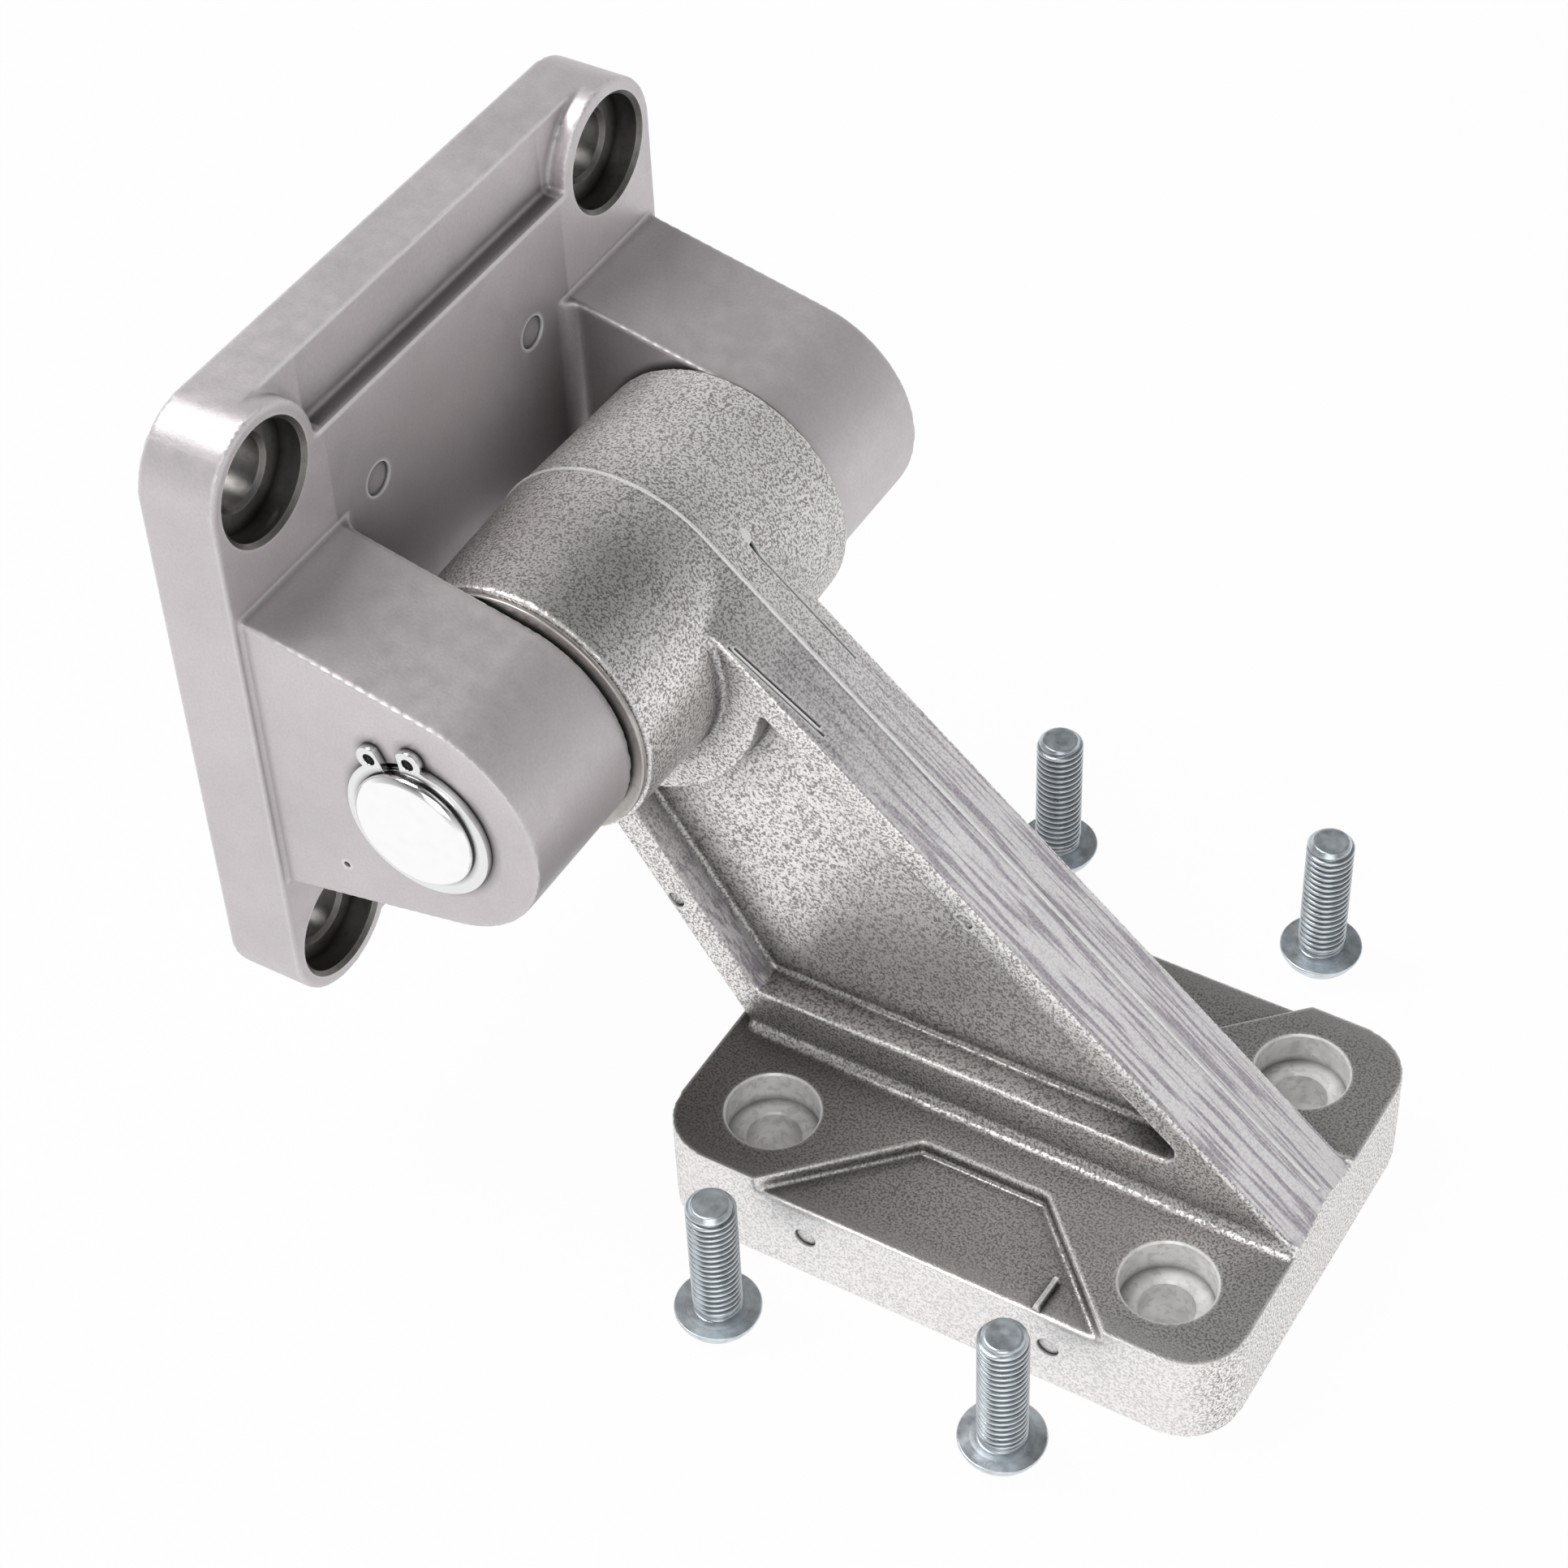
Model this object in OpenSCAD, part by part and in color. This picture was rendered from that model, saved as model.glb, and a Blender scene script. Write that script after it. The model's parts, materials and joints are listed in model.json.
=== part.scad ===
// Swivel fastener for the end of a fluid cylinder: a clevis fork on a clevis pin,
// held by an angle bracket that bolts to a floor or a frame, with four button head screws.
// Millimetres. The origin is on the underside of the bracket's foot, in the middle
// of its four holes. +X runs from the eye to the free end of the foot, Y is the
// pin's axis and +Z is up.

/* [Fork plate] */
// Side of the square plate
plate_w = 113; // [108:0.5:120]
// Thickness of the plate at its corner bosses
plate_t = 13; // [11:0.25:16]
// Pitch of the four screw holes, the same both ways
plate_pitch = 89; // [84:0.5:91]
// Diameter of the four screw holes
plate_hole_d = 11; // [9:0.1:11.5]
// Diameter of the counterbores for the screw heads
plate_cbore_d = 18.5; // [17:0.1:19.5]
// Depth of those counterbores
plate_cbore_depth = 4.5; // [2:0.25:6]
// How far the ledges at the top and bottom edges lie below the front face
ledge_depth = 3.25; // [1:0.25:6]
// Diameter of the centring recess in the back of the plate
recess_d = 55; // [40:0.5:60]
// Depth of the centring recess
recess_depth = 4; // [2:0.25:5]

/* [Fork lugs] */
// Back of the plate to the axis of the pin
fork_reach = 41; // [38:0.5:48]
// Gap between the two lugs
lug_gap = 60; // [58:0.5:64]
// Width over both lugs
lug_over = 110; // [104:0.5:112]
// Height of a lug where it leaves the plate
lug_root_h = 53; // [46:0.5:58]
// Radius of the round end of a lug
lug_end_r = 20; // [17:0.25:22]
// Radius of the fillet between a lug and the plate
lug_fillet = 3; // [1:0.25:5]

/* [Bracket foot] */
// Length of the foot
foot_l = 100; // [94:0.5:110]
// Width of the foot
foot_w = 75; // [70:0.5:84]
// Thickness of the foot
foot_t = 18.5; // [16:0.25:20]
// Radius of the four corners of the foot
foot_corner_r = 10; // [5:0.5:14]
// Pitch of the foot's holes along its length
foot_pitch_l = 70; // [64:0.5:74]
// Pitch of the foot's holes across its width
foot_pitch_w = 48; // [44:0.5:52]
// Diameter of the holes in the foot
foot_hole_d = 9; // [6:0.1:11]
// Diameter of their counterbores
foot_cbore_d = 15.2; // [13.5:0.1:17]
// Depth of their counterbores
foot_cbore_depth = 6; // [3:0.25:9]
// How far the middle of each long side is sunk below the corner bosses
foot_dip = 2.6; // [0.5:0.1:4]
// Length of the inner edge of that sunk field
dip_l = 22; // [10:1:34]
// Distance of that edge from the foot's middle line
dip_in = 18; // [14:0.5:24]

/* [Bracket arm] */
// Middle of the foot back to the axis of the pin
pin_back = 72; // [66:0.5:78]
// Underside of the foot up to the axis of the pin
pin_height = 94; // [88:0.5:104]
// Width of the arm's flanges
arm_w = 20; // [16:0.5:22]
// Thickness of the web between the flanges
web_t = 8; // [5:0.5:12]
// Height of the low ridge along the middle of each flange
ridge_h = 2.4; // [0.5:0.1:3]
// Thickness of the front flange, measured square to it
front_flange_t = 4.6; // [3.5:0.1:7]
// Thickness of the rear flange
rear_flange_t = 5.6; // [4:0.1:8]
// Height of the rail along the foot, above the foot
rail_h = 9; // [6:0.5:14]
// Radius of the two lower corners of the side pockets
pocket_r = 2.2; // [1:0.1:4]
// How far the arm's heel stands in from the eye end of the foot
heel_inset = 3; // [1:0.5:8]
// Width of the collar left round the eye above the pockets
collar_w = 8.6; // [5:0.1:11]

/* [Bracket eye] */
// Width of the cast eye
eye_w = 57.2; // [55:0.1:57.6]
// Diameter of the eye at the parting line in the middle
eye_mid_d = 46.8; // [44:0.1:50]
// Diameter of the eye at its two ends
eye_end_d = 45; // [43:0.1:46]

/* [Pin, rings and bushes] */
// Diameter of the clevis pin
pin_d = 20; // [16:0.1:21]
// Length of the clevis pin
pin_l = 116; // [115:0.5:119]
// Radial clearance of the pin in the fork
pin_play = 0.03; // [0.01:0.01:0.1]
// Radial clearance of the pin in the bushes
bush_play = 0.05; // [0.01:0.01:0.1]
// Wall of a bush
bush_wall = 1.5; // [1:0.1:2.5]
// Length of a bush inside the eye
bush_l = 22; // [12:0.5:27]
// Diameter of a bush's collar
bush_collar_d = 43.6; // [30:0.1:44.5]
// Thickness of a bush's collar
bush_collar_t = 1; // [0.6:0.05:1.2]
// Depth of a ring groove in the pin
groove_depth = 0.5; // [0.3:0.05:0.8]
// Thickness of a retaining ring
ring_t = 1.2; // [1:0.05:1.25]
// Widest part of a retaining ring, opposite its ears
ring_band = 3; // [2.4:0.1:3.4]
// Angle of the gap between the ears, from +X towards +Z
ring_turn = 107; // [0:1:359]

/* [Button head screws] */
// Thread diameter of the loose screws
screw_d = 8; // [6:0.5:8.5]
// Length of a screw under its head
screw_l = 25; // [14:1:30]
// Diameter of a screw head
head_d = 14; // [12:0.1:15]
// Height of a screw head
head_h = 4.4; // [4:0.1:6]
// Height of the straight rim of the head, next to its bearing face
head_rim = 0.5; // [0.3:0.1:1]
// Diameter of the flat on top of the domed head
head_flat_d = 8; // [7:0.1:9]
// Width across the flats of the hexagon socket
socket_af = 5; // [4:0.5:5.5]
// Depth of the hexagon socket
socket_depth = 2.1; // [1.5:0.1:3]
// Place of the two screws at the eye end, from the middle of the foot
screw_eye_x = -29; // [-45:0.5:-22]
// Place of the two screws at the free end
screw_free_x = 21.5; // [12:0.5:40]
// Distance of the two near screws from the middle of the foot
screw_near_y = 52; // [46:0.5:70]
// Distance of the two far screws from the middle of the foot
screw_far_y = 63; // [46:0.5:80]

/* [Hidden] */
$fn = 64;
e = 0.5;
plate_front = fork_reach - plate_t;
plate_half = plate_pitch / 2;
plate_corner = (plate_w - plate_pitch) / 2;
lug_t = (lug_over - lug_gap) / 2;
pin_r = pin_d / 2;
eye_bore = pin_r + bush_play + bush_wall;
press = 0.01;
ring_gap = 0.05;
groove_w = ring_t + 0.1;
groove_y = lug_over / 2 + ring_gap;
groove_r = pin_r - groove_depth;
edge_d = eye_mid_d / 2 - ridge_h;
dip_out = foot_pitch_l / 2 - 4;
// The arm's two straight faces both touch a circle of radius edge_d round the pin
front_run = foot_l / 2 + pin_back;
rear_run = pin_back - foot_l / 2 + heel_inset;
drop = pin_height - foot_t;
front_a = -atan2(drop, front_run) - asin(edge_d / norm([front_run, drop]));
rear_a = -atan2(drop, rear_run) + asin(edge_d / norm([rear_run, drop]));
pocket_w = (arm_w - web_t) / 2;
collar_r = eye_mid_d / 2 + collar_w - ridge_h;
// Height of the middle of the circle that the head's dome follows
rim_z = head_h - head_rim;
dome_z = (head_d * head_d / 4 + rim_z * rim_z - head_flat_d * head_flat_d / 4) / (2 * rim_z);

function dir(a) = [cos(a), sin(a)];
function along(a, l, s) = [l * cos(a) - s * sin(a), l * sin(a) + s * cos(a)];
// Where the line at angle a, s to its left from the pin, meets the height h
function meet_h(a, s, h) = [(h - s / cos(a)) / tan(a), h];

fork_grey = [0.62, 0.60, 0.61];
cast_grey = [0.52, 0.51, 0.50];
steel = [0.80, 0.81, 0.83];
zinc = [0.70, 0.76, 0.80];
bronze = [0.56, 0.52, 0.46];

// Draws the children, given in X and Z round the pin's axis, as a slab along Y
module side_slab(width, y = 0) {
    translate([-pin_back, y + width / 2, pin_height])
        rotate([90, 0, 0])
            linear_extrude(height = width)
                children();
}

// A round bar along the pin's axis
module pin_bar(r, width, y = 0, facets = 96) {
    translate([-pin_back, y + width / 2, pin_height])
        rotate([90, 0, 0])
            cylinder(r = r, h = width, $fn = facets);
}

// A profile of radius and distance, turned round the pin's axis
module pin_turned(profile) {
    translate([-pin_back, 0, pin_height])
        rotate([-90, 0, 0])
            rotate_extrude($fn = 96)
                polygon(profile);
}

module round_block(l, w, r, h) {
    translate([-l / 2 + r, -w / 2, 0])
        cube([l - 2 * r, w, h]);
    translate([-l / 2, -w / 2 + r, 0])
        cube([l, w - 2 * r, h]);
    for (sx = [-1, 1], sy = [-1, 1])
        translate([sx * (l / 2 - r), sy * (w / 2 - r), 0])
            cylinder(r = r, h = h);
}

// The plate lies with its back on z = 0, X up the plate and Y along the pin
module plate_blank() {
    round_block(plate_w, plate_w, plate_corner, plate_t);
}

// The ledge along one edge, between two corner bosses
module ledge_cut() {
    difference() {
        translate([plate_half, -plate_w / 2 - e, plate_t - ledge_depth])
            cube([plate_w, plate_w + 2 * e, ledge_depth + e]);
        for (s = [-1, 1])
            translate([plate_half, s * plate_half, 0])
                cylinder(r = plate_corner, h = plate_t + 2 * e);
    }
}

module fork_plate() {
    difference() {
        plate_blank();
        ledge_cut();
        mirror([1, 0, 0])
            ledge_cut();
        for (sx = [-1, 1], sy = [-1, 1])
            translate([sx * plate_half, sy * plate_half, 0]) {
                translate([0, 0, -e])
                    cylinder(d = plate_hole_d, h = plate_t + 2 * e);
                translate([0, 0, plate_t - plate_cbore_depth])
                    cylinder(d = plate_cbore_d, h = plate_cbore_depth + e);
            }
        translate([0, 0, -e])
            cylinder(d = recess_d, h = recess_depth + e, $fn = 96);
        rotate_extrude($fn = 96)
            polygon([[0, -0.1], [recess_d / 2 + 0.9, -0.1], [recess_d / 2, 0.8], [0, 0.8]]);
    }
}

// One lug seen along the pin, from the front of the plate to its round end
module lug_outline() {
    root = [-plate_front, lug_root_h / 2];
    lean = atan2(root[1], root[0]) - acos(lug_end_r / norm(root));
    tip = lug_end_r * dir(lean);
    polygon([[-plate_front - 1, lug_root_h / 2], root, tip,
             [tip[0], -tip[1]], [root[0], -root[1]],
             [-plate_front - 1, -lug_root_h / 2]]);
    circle(r = lug_end_r, $fn = 96);
}

// The rounded inner corner where a lug leaves the plate
module root_fillet() {
    intersection() {
        translate([-pin_back - plate_front, -lug_gap / 2, pin_height - lug_root_h / 2])
            difference() {
                translate([-1, -1, 0])
                    cube([lug_fillet + 1, lug_fillet + 1, lug_root_h]);
                translate([lug_fillet, lug_fillet, -e])
                    cylinder(r = lug_fillet, h = lug_root_h + 2 * e);
            }
        side_slab(lug_over)
            lug_outline();
    }
}

module fork() {
    color(fork_grey)
        difference() {
            union() {
                translate([-pin_back - fork_reach, 0, pin_height])
                    rotate([0, 90, 0])
                        fork_plate();
                for (s = [-1, 1])
                    side_slab(lug_t, s * (lug_gap + lug_t) / 2)
                        lug_outline();
                root_fillet();
                mirror([0, 1, 0])
                    root_fillet();
            }
            pin_bar(pin_r + pin_play, lug_over + 2);
            for (s = [-1, 1])
                mirror([0, (1 - s) / 2, 0])
                    pin_turned([[0, lug_over / 2 + 0.01], [pin_r + 0.7, lug_over / 2 + 0.01],
                                [pin_r, lug_over / 2 - 0.7], [0, lug_over / 2 - 0.7]]);
        }
}

// The side view of the arm, from the pin's axis down to the foot
module arm_outline() {
    f_foot = meet_h(front_a, edge_d, -drop);
    r_foot = meet_h(rear_a, -edge_d, -drop);
    polygon([[0, 0], along(front_a, 0, edge_d), f_foot,
             [f_foot[0], -drop - 3], [r_foot[0], -drop - 3],
             r_foot, along(rear_a, 0, -edge_d)]);
    circle(r = edge_d, $fn = 96);
}

// A pocket's side view before the collar round the eye is left standing
module pocket_outline() {
    fs = edge_d - front_flange_t - pocket_r;
    rs = -(edge_d - rear_flange_t - pocket_r);
    h = -drop + rail_h + pocket_r;
    tip = meet_h(front_a, fs, h);
    heel = meet_h(rear_a, rs, h);
    top_f = along(front_a, 10, fs);
    top_r = along(rear_a, 10, rs);
    polygon([tip, heel, heel + pocket_r * dir(rear_a - 90), top_r + pocket_r * dir(rear_a - 90),
             [0, 0], top_f + pocket_r * dir(front_a + 90), tip + pocket_r * dir(front_a + 90)]);
    polygon([tip, tip - [0, pocket_r], heel - [0, pocket_r], heel]);
    translate(tip)
        circle(r = pocket_r, $fn = 48);
    translate(heel)
        circle(r = pocket_r, $fn = 48);
}

module pockets() {
    difference() {
        for (s = [-1, 1])
            side_slab(pocket_w + e, s * (web_t + pocket_w + e) / 2)
                pocket_outline();
        pin_bar(collar_r, arm_w + 4);
    }
}

// The low ridge along a flange: a flat triangle that runs down to the foot
module ridge(a, s) {
    translate([-pin_back, 0, pin_height])
        rotate([0, -a, 0])
            mirror([0, 0, (1 - s) / 2])
                translate([0, 0, edge_d - 0.01])
                    rotate([90, 0, 90])
                        linear_extrude(height = 170)
                            polygon([[-arm_w / 2, 0], [arm_w / 2, 0], [0, ridge_h]]);
}

module arm() {
    intersection() {
        union() {
            side_slab(arm_w)
                arm_outline();
            ridge(front_a, 1);
            ridge(rear_a, -1);
        }
        translate([-pin_back - 40, -arm_w / 2 - 1, foot_t - 3])
            cube([pin_back + 40 + foot_l / 2, arm_w + 2, 110]);
    }
}

// The small fillet between the arm's foot and the plate of the foot
module foot_fillet() {
    r_foot = meet_h(rear_a, -edge_d, -drop);
    x0 = r_foot[0] - pin_back;
    translate([x0, arm_w / 2, foot_t])
        difference() {
            translate([0, -0.5, -0.5])
                cube([foot_l / 2 - x0, 2.5, 2.5]);
            translate([-e, 2, 2])
                rotate([0, 90, 0])
                    cylinder(r = 2, h = foot_l + 2 * e, $fn = 48);
        }
}

// The sunk field in the middle of one long side of the foot
module dip_cut() {
    translate([0, 0, foot_t - foot_dip])
        linear_extrude(height = foot_dip + e)
            polygon([[-dip_l / 2, dip_in], [dip_l / 2, dip_in],
                     [dip_out, foot_w / 2 + e], [-dip_out, foot_w / 2 + e]]);
}

module foot() {
    difference() {
        round_block(foot_l, foot_w, foot_corner_r, foot_t);
        dip_cut();
        mirror([0, 1, 0])
            dip_cut();
    }
}

module foot_holes() {
    for (sx = [-1, 1], sy = [-1, 1])
        translate([sx * foot_pitch_l / 2, sy * foot_pitch_w / 2, 0]) {
            translate([0, 0, -e])
                cylinder(d = foot_hole_d, h = foot_t + 2 * e);
            translate([0, 0, foot_t - foot_cbore_depth])
                cylinder(d = foot_cbore_d, h = foot_cbore_depth + e);
        }
}

module angle_bracket() {
    color(cast_grey)
        difference() {
            union() {
                difference() {
                    union() {
                        foot();
                        arm();
                        foot_fillet();
                        mirror([0, 1, 0])
                            foot_fillet();
                    }
                    pockets();
                }
                pin_turned([[0, -eye_w / 2], [eye_end_d / 2, -eye_w / 2], [eye_mid_d / 2, 0],
                            [eye_end_d / 2, eye_w / 2], [0, eye_w / 2]]);
            }
            foot_holes();
            pin_bar(eye_bore, eye_w + 2);
        }
}

module bush() {
    face = eye_w / 2 + press;
    pin_turned([[pin_r + bush_play, face - bush_l], [eye_bore - press, face - bush_l],
                [eye_bore - press, face], [bush_collar_d / 2, face],
                [bush_collar_d / 2, face + bush_collar_t], [pin_r + bush_play, face + bush_collar_t]]);
}

module bush_far() {
    color(bronze)
        bush();
}

module bush_near() {
    color(bronze)
        mirror([0, 1, 0])
            bush();
}

module clevis_pin() {
    half = pin_l / 2;
    g0 = groove_y;
    g1 = groove_y + groove_w;
    color(steel)
        pin_turned([[0, -half], [pin_r - 0.8, -half], [pin_r, -half + 0.8], [pin_r, -g1],
                    [groove_r, -g1], [groove_r, -g0], [pin_r, -g0], [pin_r, g0],
                    [groove_r, g0], [groove_r, g1], [pin_r, g1], [pin_r, half - 0.8],
                    [pin_r - 0.8, half], [0, half]]);
}

// A retaining ring seen along the pin, with its gap towards +X
module ring_outline() {
    ear_at = groove_r + 2.9;
    difference() {
        union() {
            translate([-0.35, 0])
                circle(r = groove_r + ring_band - 0.35, $fn = 96);
            for (s = [-1, 1])
                translate(ear_at * dir(s * 17))
                    circle(r = 2.2, $fn = 40);
        }
        circle(r = groove_r + 0.01, $fn = 96);
        polygon([[0, 0], 30 * dir(-9), 30 * dir(9)]);
        for (s = [-1, 1])
            translate(ear_at * dir(s * 17))
                circle(r = 1, $fn = 32);
    }
}

module retaining_ring() {
    side_slab(ring_t, groove_y + groove_w / 2)
        rotate(ring_turn)
            ring_outline();
}

module retaining_ring_far() {
    color(steel)
        retaining_ring();
}

module retaining_ring_near() {
    color(steel)
        mirror([0, 1, 0])
            retaining_ring();
}

// Half of a screw's section: a domed head with a flat top, and the shank
module screw_section() {
    intersection() {
        translate([0, dome_z])
            circle(r = norm([head_flat_d / 2, dome_z]), $fn = 96);
        square([head_d / 2, head_h]);
    }
    polygon([[0, head_h - e], [screw_d / 2, head_h - e], [screw_d / 2, head_h + screw_l - 1],
             [screw_d / 2 - 1, head_h + screw_l], [0, head_h + screw_l]]);
}

// A button head screw that stands on its head
module button_screw() {
    color(zinc)
        difference() {
            rotate_extrude($fn = 72)
                screw_section();
            translate([0, 0, -e])
                cylinder(d = socket_af / cos(30), h = socket_depth + e, $fn = 6);
        }
}

module cap_screw_1() {
    translate([screw_eye_x, -screw_near_y, 0])
        button_screw();
}

module cap_screw_2() {
    translate([screw_free_x, -screw_near_y, 0])
        button_screw();
}

module cap_screw_3() {
    translate([screw_eye_x, screw_far_y, 0])
        button_screw();
}

module cap_screw_4() {
    translate([screw_free_x, screw_far_y, 0])
        button_screw();
}

fork();
angle_bracket();
bush_near();
bush_far();
clevis_pin();
retaining_ring_near();
retaining_ring_far();
cap_screw_1();
cap_screw_2();
cap_screw_3();
cap_screw_4();
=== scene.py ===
"""Swivel fastener for the end of a fluid cylinder, dressed for a studio picture.

A die-cast clevis fork hangs on a bright clevis pin in the eye of a rough cast angle
bracket. Four button head screws stand beside the foot. Lengths are in metres.
"""

import json
import math

import bmesh
import bpy
from mathutils import Matrix, Vector


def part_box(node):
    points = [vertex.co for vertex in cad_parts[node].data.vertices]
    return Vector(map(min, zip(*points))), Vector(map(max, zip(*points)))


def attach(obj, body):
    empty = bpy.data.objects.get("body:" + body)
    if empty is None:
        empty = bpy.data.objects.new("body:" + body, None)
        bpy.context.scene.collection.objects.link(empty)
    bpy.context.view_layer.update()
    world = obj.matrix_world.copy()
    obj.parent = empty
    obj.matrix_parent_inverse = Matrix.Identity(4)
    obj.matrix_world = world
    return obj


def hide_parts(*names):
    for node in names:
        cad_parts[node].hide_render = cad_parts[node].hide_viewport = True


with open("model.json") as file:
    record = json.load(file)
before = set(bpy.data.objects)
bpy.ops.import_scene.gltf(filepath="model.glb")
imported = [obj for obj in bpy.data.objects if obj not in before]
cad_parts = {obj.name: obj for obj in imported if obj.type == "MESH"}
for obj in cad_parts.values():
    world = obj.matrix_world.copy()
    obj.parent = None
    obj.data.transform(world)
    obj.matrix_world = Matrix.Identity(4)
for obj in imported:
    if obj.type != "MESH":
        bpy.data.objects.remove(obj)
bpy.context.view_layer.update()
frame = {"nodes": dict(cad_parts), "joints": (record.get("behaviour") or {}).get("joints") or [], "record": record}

bl_info = {
    "name": "Swivel Fastener",
    "version": (1, 0, 0),
    "blender": (4, 5, 0),
    "location": "3D View > Sidebar > Swivel",
    "description": "Dresses a clevis fork, its angle bracket, pin, rings, bushes and screws",
    "category": "Object",
}

MM = 0.001
SAME_PLACE = 0.002 * MM
FLAT_ANGLE = math.radians(0.4)
PLUG_OVERLAP = 0.3 * MM
BEYOND = 1 * MM

MOUNTS = {mount["name"]: mount for mount in frame["record"]["mounts"]}
JOINTS = {joint["name"]: joint for joint in frame["joints"]}
PIN_AXIS = Vector(JOINTS["fork_swivel"]["pos_m"])
FOOT_LOW, FOOT_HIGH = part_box("angle_bracket")
FORK_LOW, FORK_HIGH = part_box("fork")
BUSH_LOW, BUSH_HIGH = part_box("bush_far")


def pattern_spots(mount):
    """The hole centres of a rectangular bolt pattern, in the frame."""
    dims = mount["dims"]
    across = dims["spacing_x_mm"] * MM / 2
    along = dims["spacing_y_mm"] * MM / 2
    centre = Vector(mount["pos_m"])
    upright = abs(mount["axis"][2]) > 0.5
    spots = []
    for a in (-across, across):
        for b in (-along, along):
            spots.append(centre + (Vector((a, b, 0)) if upright else Vector((0, a, b))))
    return spots


FOOT_HOLES = pattern_spots(MOUNTS["foot_holes"])
PLATE_HOLES = pattern_spots(MOUNTS["cylinder_holes"])


# Settings

def length_setting(name, description, default):
    """A length in metres."""
    return bpy.props.FloatProperty(
        name=name, description=description, default=default, unit="LENGTH", precision=5)


def colour_setting(name, description, default):
    """A colour with four values from 0 to 1."""
    return bpy.props.FloatVectorProperty(
        name=name, description=description, default=default, subtype="COLOR", size=4, min=0, max=1)


class SwivelSkin(bpy.types.PropertyGroup):
    facet: length_setting("Facet", "Size of one facet of a casting's skin", 0.42 * MM)
    softness: bpy.props.IntProperty(
        name="Softness", description="Passes that round the edges of a casting", default=4, min=0)
    kept: bpy.props.FloatProperty(
        name="Facets kept", description="Share of the facets left after the thinning",
        default=0.3, min=0.05, max=1)
    machined_edge: length_setting(
        "Machined edge", "Small break on bores, counterbores and turned pieces", 0.3 * MM)
    ring_edge: length_setting("Ring edge", "Rounding of the punched retaining rings", 0.14 * MM)
    mark_depth: length_setting(
        "Mark depth", "Depth of the round marks left by the mould's ejector pins", 0.5 * MM)


class SwivelFork(bpy.types.PropertyGroup):
    plate: length_setting("Plate", "Thickness of the plate at its corners", 13 * MM)
    counterbore: length_setting("Counterbore", "Diameter of the plate's counterbores", 18.5 * MM)
    counterbore_depth: length_setting(
        "Counterbore depth", "Depth of the plate's counterbores", 4.5 * MM)
    recess_depth: length_setting("Recess depth", "Depth of the centring recess in the back", 4 * MM)
    lug_gap: length_setting("Lug gap", "Gap between the two lugs", 60 * MM)
    lug_over: length_setting("Over the lugs", "Width over both lugs", 110 * MM)
    pin_bore: length_setting("Pin bore", "Diameter of the bores for the pin", 20.06 * MM)


class SwivelBracket(bpy.types.PropertyGroup):
    foot: length_setting("Foot", "Thickness of the foot", 18.5 * MM)
    counterbore: length_setting("Counterbore", "Diameter of the foot's counterbores", 15.2 * MM)
    counterbore_depth: length_setting(
        "Counterbore depth", "Depth of the foot's counterbores", 6 * MM)
    arm: length_setting("Arm", "Width of the arm's flanges", 20 * MM)
    slope: bpy.props.FloatProperty(
        name="Slope", description="Slope of the arm's front flange",
        default=math.radians(-40.17), unit="ROTATION")
    eye_width: length_setting("Eye width", "Width of the eye between its two faces", 57.2 * MM)
    bush_bore: length_setting("Bush bore", "Diameter of the eye's bore for the bushes", 23.1 * MM)


class SwivelFinish(bpy.types.PropertyGroup):
    fork_colour: colour_setting("Fork", "Satin die-cast aluminium", (0.69, 0.645, 0.66, 1))
    bracket_colour: colour_setting("Bracket", "Zinc-coated rough casting", (0.95, 0.925, 0.915, 1))
    pit_colour: colour_setting(
        "Pits", "Dull bottoms of the pits in the rough casting", (0.30, 0.28, 0.27, 1))
    # Painted shade: the cut faces of the fork's holes and bores are dark for the shade inside them.
    cut_face_shade_colour: colour_setting(
        "Machined", "Freshly cut faces of holes and bores", (0.22, 0.21, 0.20, 1))
    bore_colour: colour_setting(
        "Foot bores", "Zinc-coated holes of the foot", (0.97, 0.96, 0.95, 1))
    steel_colour: colour_setting(
        "Bright steel", "Ground pin and spring steel rings", (0.985, 0.985, 0.99, 1))
    zinc_colour: colour_setting("Zinc", "Bluish plating on the cap screws", (0.60, 0.66, 0.70, 1))
    bush_colour: colour_setting("Bush", "Plain bush metal", (0.50, 0.48, 0.46, 1))
    grain: length_setting("Grain", "Size of one bump of the rough cast skin", 0.42 * MM)


class SwivelScrew(bpy.types.PropertyGroup):
    pitch: length_setting("Pitch", "Pitch of the screw thread", 1.25 * MM)
    depth: length_setting("Thread depth", "Crest of the thread down to its root", 0.72 * MM)
    tip: length_setting("Tip bevel", "Height of the cone at the end of the thread", 1.0 * MM)
    diameter: length_setting("Thread diameter", "Outer diameter of the thread", 8 * MM)
    head_height: length_setting("Head height", "Height of the domed head", 4.4 * MM)
    rim: length_setting("Rim", "Height of the head's straight rim", 0.5 * MM)
    flat: length_setting("Flat", "Diameter of the flat on top of the head", 8 * MM)
    socket: length_setting("Socket", "Width across the flats of the hexagon socket", 5 * MM)
    socket_depth: length_setting("Socket depth", "Depth of the hexagon socket", 2.1 * MM)


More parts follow.
